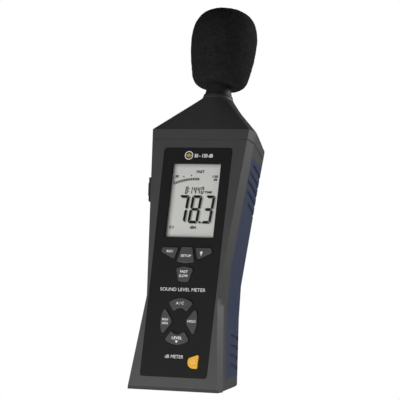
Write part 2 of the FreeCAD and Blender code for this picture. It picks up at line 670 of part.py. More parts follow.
def cover_bead():
    """The flap turns about this bead, which runs along the leaning side wall."""
    taper = SIDE_TAPER * (COVER_BACK_Y - PARTING_Y) / (back_corner_y(PORT_TOP_Z) - PARTING_Y)
    middle = (COVER_THICKNESS + COVER_GAP) / 2
    ends = [Vector(taper - middle - side_half(z), COVER_BACK_Y, z)
            for z in (COVER_BOTTOM_Z + 0.1, COVER_TOP_Z - 0.1)]
    run = ends[1] - ends[0]
    return Part.makeCylinder(middle - COVER_GAP, run.Length, ends[0], run)


def wall_x(z):
    """Where the left wall's outer face lies, halfway between parting line and corner."""
    return -(side_half(z) - 0.3)


def output_jack():
    x = wall_x(JACK_Z) + REAR_WALL + 0.6
    body = box(x, x + 11, BOARD_BACK_Y, BOARD_BACK_Y + 5, JACK_Z - 3, JACK_Z + 3)
    collar = rod_x(x - 2.0, x + 0.5, JACK_Y, JACK_Z, 2.45)
    return join(body, collar).cut(rod_x(x - 3, x + 10, JACK_Y, JACK_Z, 1.8))


def usb_port():
    x = wall_x(USB_Z) + REAR_WALL - 1.2
    shell = box(x, x + 9, BOARD_BACK_Y, BOARD_BACK_Y + 3.9, USB_Z - 3.85, USB_Z + 3.85)
    mouth = box(x - 1, x + 7.5, BOARD_BACK_Y + 0.4, BOARD_BACK_Y + 3.5, USB_Z - 3.4, USB_Z + 3.4)
    tongue = box(x + 1.5, x + 8, BOARD_BACK_Y + 1.6, BOARD_BACK_Y + 2.3, USB_Z - 2.4, USB_Z + 2.4)
    return join(shell.cut(mouth), tongue)


def dc_jack():
    x = wall_x(DC_Z) + REAR_WALL + 0.8
    body = box(x, x + 12, BOARD_BACK_Y, BOARD_BACK_Y + 6.5, DC_Z - 4.5, DC_Z + 4.5)
    collar = rod_x(x - 2.3, x + 0.5, DC_Y, DC_Z, 3.6)
    body = join(body, collar).cut(rod_x(x - 4, x + 9.5, DC_Y, DC_Z, 2.75))
    return join(body, rod_x(x - 1, x + 10, DC_Y, DC_Z, 1.0))


def trimmer_body():
    x = wall_x(TRIM_Z) + REAR_WALL + 1.0
    body = box(x, x + 4.5, BOARD_BACK_Y, BOARD_BACK_Y + 6.6, TRIM_Z - 3.3, TRIM_Z + 3.3)
    return body.cut(rod_x(x - 1, x + 3.5, TRIM_Y, TRIM_Z, 1.65))


def trimmer_rotor():
    x = wall_x(TRIM_Z) + REAR_WALL + 1.0
    rotor = rod_x(x - 0.6, x + 3.2, TRIM_Y, TRIM_Z, 1.6)
    return rotor.cut(box(x - 1, x + 0.1, TRIM_Y - 1.2, TRIM_Y + 1.2, TRIM_Z - 0.3, TRIM_Z + 0.3))


# --- microphone -----------------------------------------------------------------------------------------
def turned(profile):
    """A solid of revolution about the microphone's axis, from radius and height pairs."""
    points = [Vector(r, 0, z) for r, z in profile]
    face = Part.Face(Part.makePolygon(points + points[:1]))
    solid = face.revolve(Vector(0, 0, 0), Vector(0, 0, 1), 360)
    solid.translate(Vector(0, MIC_Y, 0))
    return solid


def neck_ring():
    return turned([(MIC_BORE, NECK_Z), (NECK_RADIUS, NECK_Z), (10.5, SLEEVE_Z), (MIC_BORE, SLEEVE_Z)])


def mic_sleeve():
    """A rubber collar that narrows from the neck to the foam, stepped out at its foot."""
    return turned([(MIC_BORE, SLEEVE_Z), (10.5, SLEEVE_Z), (10.2, SLEEVE_Z + 1.4), (9.5, SLEEVE_Z + 1.6),
                   (8.3, SLEEVE_TOP_Z), (MIC_BORE, SLEEVE_TOP_Z)])


def mic_tube():
    return turned([(5.2, 196), (MIC_STEM_RADIUS, 196), (MIC_STEM_RADIUS, SLEEVE_TOP_Z),
                   (MIC_RADIUS, SLEEVE_TOP_Z), (MIC_RADIUS, 242), (5.2, 242)])


def mic_capsule():
    return turned([(0, 231), (5.15, 231), (5.15, 242), (MIC_RADIUS, 242), (MIC_RADIUS, 246), (0, 246)])


def mic_grid():
    """The slotted cap over the microphone's diaphragm."""
    cap = rod_z(0, MIC_Y, 246, MIC_TOP_Z, MIC_RADIUS).cut(rod_z(0, MIC_Y, 245, MIC_TOP_Z - 0.8, 5.4))
    slots = []
    for x in (-3.6, -1.8, 0.0, 1.8, 3.6):
        half = math.sqrt(5.0 ** 2 - x ** 2)
        slots.append(box(x - 0.4, x + 0.4, MIC_Y - half, MIC_Y + half, MIC_TOP_Z - 2, MIC_TOP_Z + 1))
    return cap.cut(slots)


def windscreen():
    """A foam ball drawn down to a blunt neck, bored to slide over the microphone."""
    outline = [(16.0, 218.9), (18.6, 221.6), (20.2, 226.5), (21.4, 232.5), (22.6, 241.0), (23.2, 249.0),
               (23.1, 255.5), (21.6, 262.8), (17.8, 269.4), (10.6, 273.6), (0.0, FOAM_TOP_Z)]
    curve = Part.BSplineCurve()
    curve.interpolate([Vector(r, 0, z) for r, z in outline])
    floor = Vector(14.8, 0, FOAM_BOTTOM_Z)
    bore_top = MIC_TOP_Z + 2.0
    bore = [Vector(0, 0, bore_top), Vector(FOAM_BORE, 0, bore_top), Vector(FOAM_BORE, 0, FOAM_BOTTOM_Z)]
    side = bore + [floor]
    edges = [curve.toShape(), Part.makeLine(Vector(0, 0, FOAM_TOP_Z), side[0])]
    edges += [Part.makeLine(a, b) for a, b in zip(side, side[1:])]
    edges += [Part.makeLine(floor, Vector(16.0, 0, 218.9))]
    face = Part.Face(Part.Wire(Part.__sortEdges__(edges)))
    foam = face.revolve(Vector(0, 0, 0), Vector(0, 0, 1), 360)
    foam.translate(Vector(0, MIC_Y, 0))
    return foam


def preamp_board():
    return box(-9, 9, MIC_Y - 0.8, MIC_Y + 0.8, 166, 195)


def preamp_shield():
    can = box(-7, 7, MIC_Y + 0.8, MIC_Y + 6.0, 170, 190)
    return can.cut(box(-6.6, 6.6, MIC_Y + 0.8, MIC_Y + 5.6, 170.4, 189.6))


def mic_lead():
    """The shielded wire from the preamplifier board up to the microphone capsule."""
    return rod_z(0, MIC_Y, 195, 231, 0.9)


def signal_lead():
    """The wire from the preamplifier board down to the main board."""
    route = [Vector(0, MIC_Y - 0.8, 170), Vector(0, 20, 170)]
    route += [Vector(0, 20, 152), Vector(0, BOARD_BACK_Y, 152)]
    return lead(route, 1.0, 2.5)


def all_parts():
    parts = {
        "front_shell": front_shell(), "rear_shell": rear_shell(), "head_cap": head_cap(),
        "grip_right": grip(1), "grip_left": grip(-1), "faceplate": faceplate(),
        "display_lens": display_lens(), "lcd_glass": lcd_glass(), "lcd_frame": lcd_frame(),
        "backlight": backlight(), "zebra_strip": zebra_strip(), "main_board": main_board(),
        "board_chips": board_chips(), "key_switches": key_switches(), "case_screws": case_screws(),
        "head_screws": head_screws(), "board_screws": board_screws(), "battery": battery(),
        "battery_door": battery_door(), "battery_snap": battery_snap(),
        "battery_leads": battery_leads(), "tripod_insert": tripod_insert(),
        "port_cover": port_cover(), "output_jack": output_jack(), "usb_port": usb_port(),
        "dc_jack": dc_jack(), "trimmer_body": trimmer_body(), "trimmer_rotor": trimmer_rotor(),
        "neck_ring": neck_ring(), "mic_sleeve": mic_sleeve(), "mic_tube": mic_tube(),
        "mic_capsule": mic_capsule(), "mic_grid": mic_grid(), "mic_lead": mic_lead(),
        "windscreen": windscreen(), "preamp_board": preamp_board(),
        "preamp_shield": preamp_shield(), "signal_lead": signal_lead(),
    }
    for name, outline in KEYS.items():
        parts[name] = key(outline, KEY_CENTRES[name])
    return parts


def write_parts():
    os.makedirs("parts", exist_ok=True)
    origin = Vector(0, CASE_DEPTH, SOCKET_Z)
    for name, shape in all_parts().items():
        shape.translate(origin * -1)
        shape.exportStep(f"parts/{name}.step")
        box_ = shape.BoundBox
        print(f"{name:16s} solids {len(shape.Solids):2d} valid {shape.isValid()} volume {shape.Volume:9.1f}"
              f"  x {box_.XMin:6.1f} {box_.XMax:6.1f}  y {box_.YMin:6.1f} {box_.YMax:6.1f}"
              f"  z {box_.ZMin:6.1f} {box_.ZMax:6.1f}")


write_parts()
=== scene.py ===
import json
import math

import bmesh
import bpy
from mathutils import Matrix, Quaternion, Vector


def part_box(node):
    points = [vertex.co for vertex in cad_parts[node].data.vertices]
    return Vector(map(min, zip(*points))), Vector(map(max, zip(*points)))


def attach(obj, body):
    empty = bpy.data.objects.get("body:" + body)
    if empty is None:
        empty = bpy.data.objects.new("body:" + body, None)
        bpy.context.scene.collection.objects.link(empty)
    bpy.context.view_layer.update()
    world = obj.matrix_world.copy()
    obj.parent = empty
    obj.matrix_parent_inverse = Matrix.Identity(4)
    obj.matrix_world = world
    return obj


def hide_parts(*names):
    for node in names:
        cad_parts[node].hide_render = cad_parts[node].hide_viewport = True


MM = 0.001
X, Z = 0, 2   # the places of two axes in a point
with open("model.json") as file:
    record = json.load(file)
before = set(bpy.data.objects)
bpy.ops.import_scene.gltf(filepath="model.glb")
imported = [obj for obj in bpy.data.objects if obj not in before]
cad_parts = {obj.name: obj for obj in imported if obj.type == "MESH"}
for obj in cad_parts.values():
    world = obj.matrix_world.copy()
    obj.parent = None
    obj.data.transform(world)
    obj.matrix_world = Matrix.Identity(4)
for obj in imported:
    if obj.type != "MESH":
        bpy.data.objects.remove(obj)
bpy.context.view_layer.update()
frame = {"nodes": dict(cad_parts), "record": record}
nodes = frame["nodes"]


# --- node materials ----------------------------------------------------------------------------
def new_material(name):
    material = bpy.data.materials.new(name)
    material.use_nodes = True
    tree = material.node_tree
    shader = tree.nodes["Principled BSDF"]
    return material, tree, shader


def add(tree, kind, **values):
    """A node with its properties and input values set by name."""
    node = tree.nodes.new("ShaderNode" + kind)
    for name, value in values.items():
        if name in node.inputs:
            node.inputs[name].default_value = value
        else:
            setattr(node, name, value)
    return node


def object_place(tree, stretch=(1, 1, 1)):
    place = add(tree, "TexCoord")
    mapping = add(tree, "Mapping")
    mapping.inputs["Scale"].default_value = stretch
    tree.links.new(place.outputs["Object"], mapping.inputs["Vector"])
    return mapping.outputs[0]


def noise(tree, place, scale, detail=3.0, roughness=0.55):
    node = add(tree, "TexNoise", Scale=scale, Detail=detail, Roughness=roughness)
    tree.links.new(place, node.inputs["Vector"])
    return node.outputs[0]


def ramp(tree, factor, stops):
    """stops is a list of (position, colour)."""
    node = add(tree, "ValToRGB")
    elements = node.color_ramp.elements
    while len(elements) < len(stops):
        elements.new(0.5)
    for element, (position, colour) in zip(elements, stops):
        element.position = position
        element.color = (*colour, 1.0)
    tree.links.new(factor, node.inputs[0])
    return node.outputs[0]


def spread(tree, value, low, high, from_low=0.3, from_high=0.7):
    node = add(tree, "MapRange")
    for socket, number in zip(node.inputs[1:5], (from_low, from_high, low, high)):
        socket.default_value = number
    tree.links.new(value, node.inputs[0])
    return node.outputs[0]


def shade(colour, factor):
    return tuple(min(1.0, c * factor) for c in colour)


def mixed(tree, factor, colour_a, colour_b):
    """colour_b where factor is 1, colour_a where it is 0."""
    node = add(tree, "Mix", data_type="RGBA")
    tree.links.new(factor, node.inputs[0])
    for socket, colour in ((node.inputs[6], colour_a), (node.inputs[7], colour_b)):
        if isinstance(colour, tuple):
            socket.default_value = (*colour, 1.0)
        else:
            tree.links.new(colour, socket)
    return node.outputs[2]


def bump(tree, shader, height, distance, strength=1.0, under=None):
    node = add(tree, "Bump", Strength=strength, Distance=distance)
    tree.links.new(height, node.inputs["Height"])
    if under is not None:
        tree.links.new(under, node.inputs["Normal"])
    tree.links.new(node.outputs[0], shader.inputs["Normal"])
    return node.outputs[0]


def moulded(name, colour, rough, specular=0.5, grain=0.4, depth=0.02, vary=0.10, sheen=0.0):
    """Moulded plastic or rubber: cloudy colour, fine grain of the given size and depth in mm."""
    rough_spread = 0.07
    cloud_depth = 0.04
    material, tree, shader = new_material(name)
    place = object_place(tree)
    cloud = noise(tree, place, scale=55.0, detail=4.0)
    tree.links.new(ramp(tree, cloud, [(0.3, shade(colour, 1 - vary)), (0.7, shade(colour, 1 + vary))]),
                   shader.inputs["Base Color"])
    speck = noise(tree, place, scale=1.0 / (grain * MM), detail=2.0)
    dull = spread(tree, speck, rough - rough_spread, rough + rough_spread)
    tree.links.new(dull, shader.inputs["Roughness"])
    broad = bump(tree, shader, cloud, distance=cloud_depth * MM, strength=0.4)
    bump(tree, shader, speck, distance=depth * MM, strength=1.0, under=broad)
    shader.inputs["Specular IOR Level"].default_value = specular
    if sheen:
        shader.inputs["Sheen Weight"].default_value = sheen
        shader.inputs["Sheen Roughness"].default_value = 0.6
    return material


def metal(name, colour, rough, stretch):
    """Bare metal with fine machining lines, drawn out along the axes whose stretch is small."""
    material, tree, shader = new_material(name)
    place = object_place(tree, stretch)
    lines = noise(tree, place, scale=900.0, detail=3.0)
    blotch = noise(tree, object_place(tree), scale=180.0, detail=3.0)
    tree.links.new(ramp(tree, blotch, [(0.3, shade(colour, 0.86)), (0.7, shade(colour, 1.08))]),
                   shader.inputs["Base Color"])
    tree.links.new(spread(tree, lines, rough - 0.08, rough + 0.12), shader.inputs["Roughness"])
    bump(tree, shader, lines, distance=0.01 * MM, strength=0.6)
    shader.inputs["Metallic"].default_value = 1.0
    return material


def along(tree, axis):
    """The place along one axis of the object, in metres."""
    separate = add(tree, "SeparateXYZ")
    tree.links.new(object_place(tree), separate.inputs[0])
    return separate.outputs[axis]


def split_by(tree, axis, edge):
    """0 below the edge and 1 above it, along one axis of the object, in metres."""
    blur = 0.1 * MM
    return spread(tree, along(tree, axis), 0.0, 1.0, edge - blur, edge + blur)


def foam_material():
    """Open-cell foam: painted shade in the dark pores, between lighter struts."""
    material, tree, shader = new_material("foam")
    place = object_place(tree)
    cells = add(tree, "TexVoronoi", Scale=1150.0, Randomness=1.0)
    tree.links.new(place, cells.inputs["Vector"])
    cloud = noise(tree, place, scale=240.0, detail=5.0, roughness=0.7)
    # Painted shade: the pores are nearly black, the struts between them lighter.
    pore_shade_and_struts = ramp(tree, cells.outputs["Distance"],
                  [(0.08, (0.0035, 0.0035, 0.0036)), (0.75, (0.021, 0.021, 0.0215))])
    tree.links.new(mixed(tree, spread(tree, cloud, 0.0, 0.75), pore_shade_and_struts, (0.0085, 0.0085, 0.0088)),
                   shader.inputs["Base Color"])
    tree.links.new(spread(tree, cloud, 0.86, 1.0), shader.inputs["Roughness"])
    soft = bump(tree, shader, cloud, distance=0.5 * MM, strength=0.7)
    bump(tree, shader, cells.outputs["Distance"], distance=0.28 * MM, strength=0.8, under=soft)
    shader.inputs["Specular IOR Level"].default_value = 0.12
    return material


def lens_material():
    """Clear plastic that is nearly all transparent, with a faint dark smear on it."""
    material, tree, shader = new_material("clear_lens")
    smear = noise(tree, object_place(tree), scale=70.0, detail=4.0)
    tree.links.new(ramp(tree, smear, [(0.3, (0.012, 0.013, 0.013)), (0.7, (0.020, 0.021, 0.021))]),
                   shader.inputs["Base Color"])
    tree.links.new(spread(tree, smear, 0.05, 0.12), shader.inputs["Roughness"])
    shader.inputs["Alpha"].default_value = 0.05
    return material


def display_material():
    """The reflective cell: pale, with a very fine vertical grain, and shaded at the left and top edges."""
    material, tree, shader = new_material("display_cell")
    fine = noise(tree, object_place(tree, (3.0, 1.0, 1.0)), scale=1400.0, detail=2.0)
    cloud = noise(tree, object_place(tree), scale=60.0, detail=3.0)
    pale = ramp(tree, fine, [(0.25, (0.70, 0.71, 0.68)), (0.75, (0.75, 0.76, 0.73))])
    tone = mixed(tree, spread(tree, cloud, 0.0, 0.35), pale, (0.72, 0.73, 0.69))
    shadow = (0.16, 0.16, 0.15)
    # Painted shade: the cell grows darker towards the window's left and top edges, where the window's walls
    # shade it.
    low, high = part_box("display_lens")
    for axis, start, end, darkest in ((X, low.x + 1.4 * MM, low.x + 4.6 * MM, 0.66),
                                      (Z, high.z - 1.0 * MM, high.z - 3.6 * MM, 0.50)):
        edge = spread(tree, along(tree, axis), darkest, 0.0, start, end)
        tone = mixed(tree, edge, tone, shadow)
    tree.links.new(tone, shader.inputs["Base Color"])
    tree.links.new(spread(tree, fine, 0.42, 0.55), shader.inputs["Roughness"])
    bump(tree, shader, fine, distance=0.01 * MM, strength=0.4)
    shader.inputs["Specular IOR Level"].default_value = 0.25
    return material


def board_material():
    """Green solder mask with copper tracks showing through."""
    material, tree, shader = new_material("circuit_board")
    place = object_place(tree)
    tracks = add(tree, "TexBrick", Scale=110.0, offset=0.37)
    tracks.inputs["Color1"].default_value = (0.008, 0.075, 0.028, 1)
    tracks.inputs["Color2"].default_value = (0.010, 0.095, 0.034, 1)
    tracks.inputs["Mortar"].default_value = (0.03, 0.17, 0.07, 1)
    tracks.inputs["Mortar Size"].default_value = 0.03
    turned = add(tree, "Mapping")
    turned.inputs["Rotation"].default_value = (math.radians(90), 0, 0)
    tree.links.new(place, turned.inputs[0])
    tree.links.new(turned.outputs[0], tracks.inputs["Vector"])
    tree.links.new(tracks.outputs["Color"], shader.inputs["Base Color"])
    weave = noise(tree, place, scale=1600.0, detail=2.0)
    tree.links.new(spread(tree, weave, 0.25, 0.4), shader.inputs["Roughness"])
    bump(tree, shader, tracks.outputs["Fac"], distance=0.03 * MM, strength=0.6)
    return material


def battery_material():
    """A printed wrap: dark can, a thin pale line, a copper band above it and a bare rim."""
    material, tree, shader = new_material("battery_can")
    low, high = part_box("battery")
    height = high.z - low.z
    line_start = low.z + 0.66 * height
    band_start = low.z + 0.68 * height
    rim_start = low.z + 0.945 * height
    copper = (0.55, 0.25, 0.09)
    pale = (0.70, 0.68, 0.62)
    steel = (0.48, 0.48, 0.49)
    cloud = noise(tree, object_place(tree), scale=120.0, detail=3.0)
    body = ramp(tree, cloud, [(0.3, (0.016, 0.017, 0.019)), (0.7, (0.024, 0.025, 0.028))])
    band = mixed(tree, split_by(tree, Z, band_start), body, copper)
    line = mixed(tree, split_by(tree, Z, line_start), body, pale)
    wrap = mixed(tree, split_by(tree, Z, band_start), line, band)
    top = mixed(tree, split_by(tree, Z, rim_start), wrap, steel)
    tree.links.new(top, shader.inputs["Base Color"])
    tree.links.new(spread(tree, cloud, 0.26, 0.38), shader.inputs["Roughness"])
    bump(tree, shader, cloud, distance=0.05 * MM, strength=0.4)
    shader.inputs["Metallic"].default_value = 0.35
    return material


def wire_material():
    """Red and black insulation: the wires right of the line x = 0.9 mm are red."""
    material, tree, shader = new_material("wire_sleeve")
    speck = noise(tree, object_place(tree), scale=1500.0, detail=2.0)
    red = ramp(tree, speck, [(0.3, (0.30, 0.012, 0.010)), (0.7, (0.38, 0.020, 0.016))])
    black = ramp(tree, speck, [(0.3, (0.010, 0.010, 0.010)), (0.7, (0.016, 0.016, 0.016))])
    tree.links.new(mixed(tree, split_by(tree, X, 0.9 * MM), black, red), shader.inputs["Base Color"])
    tree.links.new(spread(tree, speck, 0.42, 0.55), shader.inputs["Roughness"])
    bump(tree, shader, speck, distance=0.02 * MM, strength=0.4)
    return material


def shell_material():
    """The case's grey plastic, with painted shade: nearly black on the chamfer under its front edge."""
    # Painted shade: the chamfer under the front edge is coloured nearly black, up to 2.1 mm above the front
    # shell's lowest point.
    shade_band_height = 2.1
    painted_shade_black = (0.006, 0.006, 0.006)
    material = moulded("shell_plastic", (0.039, 0.039, 0.0385), 0.50, grain=0.45, depth=0.022, vary=0.07)
    tree = material.node_tree
    shader = tree.nodes["Principled BSDF"]
    grey = shader.inputs["Base Color"].links[0].from_socket
    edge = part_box("front_shell")[0].z + shade_band_height * MM
    tree.links.new(mixed(tree, split_by(tree, Z, edge), painted_shade_black, grey), shader.inputs["Base Color"])
    return material


MOULDED = {
    "grip_rubber": dict(colour=(0.026, 0.036, 0.078), rough=0.68, specular=0.24, grain=0.30, depth=0.018),
    "cover_rubber": dict(colour=(0.012, 0.012, 0.0125), rough=0.66, specular=0.35, grain=0.30, depth=0.018,
                         vary=0.12, sheen=0.05),
    "sleeve_rubber": dict(colour=(0.011, 0.011, 0.011), rough=0.60, specular=0.35, grain=0.35, depth=0.018,
                          vary=0.12),
    "panel_film": dict(colour=(0.0095, 0.0095, 0.0097), rough=0.55, specular=0.14, grain=0.22, depth=0.006,
                       vary=0.06),
    "white_plastic": dict(colour=(0.66, 0.66, 0.63), rough=0.45, depth=0.01, vary=0.04),
    "chip_epoxy": dict(colour=(0.012, 0.012, 0.012), rough=0.45, grain=0.2, depth=0.015, vary=0.12),
    "socket_plastic": dict(colour=(0.010, 0.010, 0.010), rough=0.42, grain=0.3, depth=0.012, vary=0.12),
    "trimmer_plastic": dict(colour=(0.02, 0.07, 0.28), rough=0.4, grain=0.3, depth=0.012, vary=0.08),
    "key_rubber": dict(colour=(0.047, 0.047, 0.0465), rough=0.60, specular=0.40, grain=0.28, depth=0.012,
                       vary=0.06),
    "power_key_rubber": dict(colour=(0.80, 0.40, 0.028), rough=0.50, specular=0.35, grain=0.28, depth=0.010,
                             vary=0.05),
}
METALS = {
    "screw_steel": dict(colour=(0.52, 0.52, 0.54), rough=0.32, stretch=(0.3, 0.3, 2.0)),
    "insert_brass": dict(colour=(0.68, 0.47, 0.17), rough=0.28, stretch=(1.0, 0.1, 1.0)),
    "socket_metal": dict(colour=(0.62, 0.62, 0.61), rough=0.25, stretch=(1.0, 0.2, 0.2)),
    "mic_metal": dict(colour=(0.50, 0.50, 0.50), rough=0.30, stretch=(0.05, 0.05, 3.0)),
}
SLOTS = {
    "shell_plastic": shell_material(),
    "clear_lens": lens_material(),
    "display_cell": display_material(),
    "circuit_board": board_material(),
    "battery_can": battery_material(),
    "wire_sleeve": wire_material(),
    "foam": foam_material(),
}
for name, finish in MOULDED.items():
    SLOTS[name] = moulded(name, **finish)
for name, finish in METALS.items():
    SLOTS[name] = metal(name, **finish)


def printed(name, colour):
    """Ink on the panel and the keys."""
    return moulded(name, colour, rough=0.55, specular=0.3, grain=0.15, depth=0.004, vary=0.05)


INK = printed("legend_ink", (0.78, 0.78, 0.76))
INK_AMBER = printed("legend_amber", (0.70, 0.50, 0.16))
INK_POWER = printed("legend_power", (0.86, 0.60, 0.24))
LCD_INK = moulded("lcd_ink", (0.010, 0.011, 0.010), rough=0.40, specular=0.25, grain=0.15, depth=0.002,
                  vary=0.08)
# Painted shadow of the big digits on the cell: a grey copy and a paler grey copy.
LCD_SHADE = moulded("lcd_shade", (0.36, 0.365, 0.345), rough=0.50, specular=0.2, grain=0.20, depth=0.002,
                    vary=0.05)
LCD_HALF_SHADOW = moulded("lcd_half_shadow", (0.48, 0.485, 0.46), rough=0.50, specular=0.2, grain=0.20, depth=0.002,
                   vary=0.05)


def set_material(piece, material):
    piece.data.materials.clear()
    piece.data.materials.append(material)


for subpart in frame["record"]["subparts"]:
    set_material(nodes[subpart["node"]], SLOTS[subpart["material_slot"]])


# --- softened edges on the CAD parts -------------------------------------------------------------
def soften(node, width):
    """Small moulded radii: faces welded, flat ones merged, edges rounded, normals by face size."""
    piece = nodes[node]
    weld = piece.modifiers.new("weld", "WELD")
    weld.merge_threshold = 0.002 * MM
    flat = piece.modifiers.new("flat", "DECIMATE")
    flat.decimate_type = "DISSOLVE"
    flat.angle_limit = math.radians(0.6)
    edges = piece.modifiers.new("edges", "BEVEL")
    edges.width = width * MM
    edges.segments = 2
    edges.limit_method = "ANGLE"
    edges.angle_limit = math.radians(28)
    edges.use_clamp_overlap = True
    edges.harden_normals = False
    normals = piece.modifiers.new("normals", "WEIGHTED_NORMAL")
    normals.weight = 80
    for face in piece.data.polygons:
        face.use_smooth = True


# Edge radii in mm.
EDGE_RADII = {
    "front_shell": 0.35, "rear_shell": 0.35, "head_cap": 0.18, "grip_left": 0.30, "grip_right": 0.30,
    "battery_door": 0.25, "neck_ring": 0.20, "mic_sleeve": 0.20, "port_cover": 0.30,
}
for node, width in EDGE_RADII.items():
    soften(node, width)


# --- building pieces -----------------------------------------------------------------------------
INK_DEPTH = 0.03 * MM          # thickness of the print on the panel and the keys
PRINT_RISE = INK_DEPTH * 0.8   # how far it stands out of its surface
CELL_INK_DEPTH = 0.02 * MM     # thickness of the display's figures


def finish_piece(name, bm, material, body):
    mesh = bpy.data.meshes.new(name)
    bm.to_mesh(mesh)
    bm.free()
    piece = bpy.data.objects.new(name, mesh)
    bpy.context.scene.collection.objects.link(piece)
    set_material(piece, material)
    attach(piece, body)
    return piece


def slab(bm, outline, y_front, thickness):
    """A flat shape, given as (x, z) points in metres, from y_front back by the thickness."""
    front = [bm.verts.new((x, y_front, z)) for x, z in outline]
    back = [bm.verts.new((x, y_front + thickness, z)) for x, z in outline]
    bm.faces.new(front)
    bm.faces.new(back[::-1])
    count = len(outline)
    for i in range(count):
        j = (i + 1) % count
        bm.faces.new((front[j], front[i], back[i], back[j]))


def bar_outline(x, z, half_width, half_height):
    return [(x - half_width, z - half_height), (x + half_width, z - half_height),
            (x + half_width, z + half_height), (x - half_width, z + half_height)]


def lettering(bm, words, x, z, width, height, y_front, thickness=INK_DEPTH, weight=0.018):
    """Words in a bold sans face, stretched to a width and height about a middle point."""
    curve = bpy.data.curves.new("lettering", "FONT")
    curve.body = words
    curve.align_x = "CENTER"
    curve.offset = weight
    curve.extrude = 0.5
    curve.resolution_u = 4
    holder = bpy.data.objects.new("lettering", curve)
    bpy.context.scene.collection.objects.link(holder)
    bpy.context.view_layer.update()
    mesh = bpy.data.meshes.new_from_object(holder.evaluated_get(bpy.context.evaluated_depsgraph_get()))
    bpy.data.objects.remove(holder)
    low = [min(v.co[i] for v in mesh.vertices) for i in range(3)]
    high = [max(v.co[i] for v in mesh.vertices) for i in range(3)]
    wide, tall, deep = (high[i] - low[i] for i in range(3))
    for vertex in mesh.vertices:
        u, v, w = vertex.co
        vertex.co = (x + ((u - low[0]) / wide - 0.5) * width,
                     y_front + (high[2] - w) / deep * thickness,
                     z + ((v - low[1]) / tall - 0.5) * height)
    bm.from_mesh(mesh)
    bpy.data.meshes.remove(mesh)


def ring(bm, x, z, outer, inner, y_front, thickness, start=0.0, sweep=360.0):
    """Part of a flat ring. Angles are in degrees, clockwise from straight up."""
    steps = 40
    for i in range(steps):
        angles = [math.radians(start + sweep * k / steps) for k in (i, i + 1)]
        inside = [(x + inner * math.sin(a), z + inner * math.cos(a)) for a in angles]
        outside = [(x + outer * math.sin(a), z + outer * math.cos(a)) for a in angles]
        slab(bm, [inside[0], inside[1], outside[1], outside[0]], y_front, thickness)
    if sweep >= 360.0:
        bmesh.ops.remove_doubles(bm, verts=bm.verts, dist=1e-7)


def disc_outline(x, z, radius):
    steps = 24
    return [(x + radius * math.sin(2 * math.pi * i / steps), z - radius * math.cos(2 * math.pi * i / steps))
            for i in range(steps)]


def centre(node):
    low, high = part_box(node)
    return (low + high) / 2


# --- the legends -----------------------------------------------------------------------------------
def key_legend(node, lines, marks=None, material=INK):
    """Lines are (words, right, up, width, height) in mm about the middle of the key."""
    middle = centre(node)
    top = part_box(node)[0].y - PRINT_RISE
    bm = bmesh.new()
    for words, right, up, width, height in lines:
        lettering(bm, words, middle.x + right * MM, middle.z + up * MM, width * MM, height * MM, top)
    if marks:
        marks(bm, middle, top)
    return finish_piece(node + "_legend", bm, material, node + "_body")


def down_arrow(bm, middle, top):
    x, z = middle.x, middle.z - 2.6 * MM
    half_width, half_height = 1.2 * MM, 0.85 * MM
    slab(bm, [(x - half_width, z + half_height), (x, z - half_height), (x + half_width, z + half_height)],
         top, INK_DEPTH)


def bulb(bm, middle, top):
    """A small lamp: a round bulb over a cap of two bars."""
    x, z = middle.x - 1.5 * MM, middle.z + 0.4 * MM
    slab(bm, disc_outline(x, z, 0.88 * MM), top, INK_DEPTH)
    for half_width, drop in ((0.48, 1.2), (0.34, 1.75)):
        slab(bm, bar_outline(x, z - drop * MM, half_width * MM, 0.2 * MM), top, INK_DEPTH)


def power_mark(bm, middle, top):
    """An open ring with an upright bar in its gap."""
    ring(bm, middle.x, middle.z, 1.6 * MM, 1.18 * MM, top, INK_DEPTH, start=38, sweep=284)
    slab(bm, bar_outline(middle.x, middle.z + 1.075 * MM, 0.21 * MM, 0.875 * MM), top, INK_DEPTH)


key_legend("key_record", [("REC", 0.4, 0.9, 4.7, 1.6)])
key_legend("key_setup", [("SETUP", 0.0, -0.6, 7.3, 1.65)])
key_legend("key_backlight", [], bulb)
key_legend("key_fast_slow", [("FAST", -0.2, 1.7, 5.4, 1.75), ("SLOW", -0.2, -1.2, 6.3, 1.75)])
key_legend("key_weighting", [("A / C", -0.5, 0.8, 5.5, 1.9)])
key_legend("key_max_min", [("MAX", -0.6, 1.0, 4.5, 1.7), ("MIN", -0.6, -1.6, 4.1, 1.7)])
key_legend("key_hold", [("HOLD", 0.1, 0.3, 5.7, 1.7)])
key_legend("key_level", [("LEVEL", 0.1, 0.1, 7.3, 1.9)], down_arrow)
key_legend("key_power", [], power_mark, INK_POWER)


def panel_legends():
    low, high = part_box("faceplate")
    middle = (low + high) / 2
    top = low.y - PRINT_RISE
    words = bmesh.new()
    title_z = low.z + 59.5 * MM
    foot_z = low.z + 13.9 * MM
    range_z = high.z - 5.8 * MM
    for line, right, z, width, height, weight in (("SOUND LEVEL METER", 0.1, title_z, 32.2, 2.3, 0.0),
                                                  ("dB METER", -0.8, foot_z, 13.0, 2.2, 0.0),
                                                  ("30 - 130 dB", 4.4, range_z, 13.4, 2.6, 0.028)):
        lettering(words, line, middle.x + right * MM, z, width * MM, height * MM, top, weight=weight)
    finish_piece("panel_legends", words, INK, "case")
    # A plain badge: a ring with a sound wave in it.
    x, z = middle.x - 6.3 * MM, high.z - 5.6 * MM
    badge = bmesh.new()
    ring(badge, x, z, 3.0 * MM, 2.45 * MM, top, INK_DEPTH)
    finish_piece("badge_ring", badge, INK, "case")
    wave = bmesh.new()
    for i, half_height in enumerate((0.45, 1.0, 1.55, 1.0, 0.45)):
        bar = x + (i - 2) * 0.85 * MM
        slab(wave, bar_outline(bar, z, 0.25 * MM, half_height * MM), top, INK_DEPTH)
    finish_piece("badge_wave", wave, INK_AMBER, "case")


panel_legends()

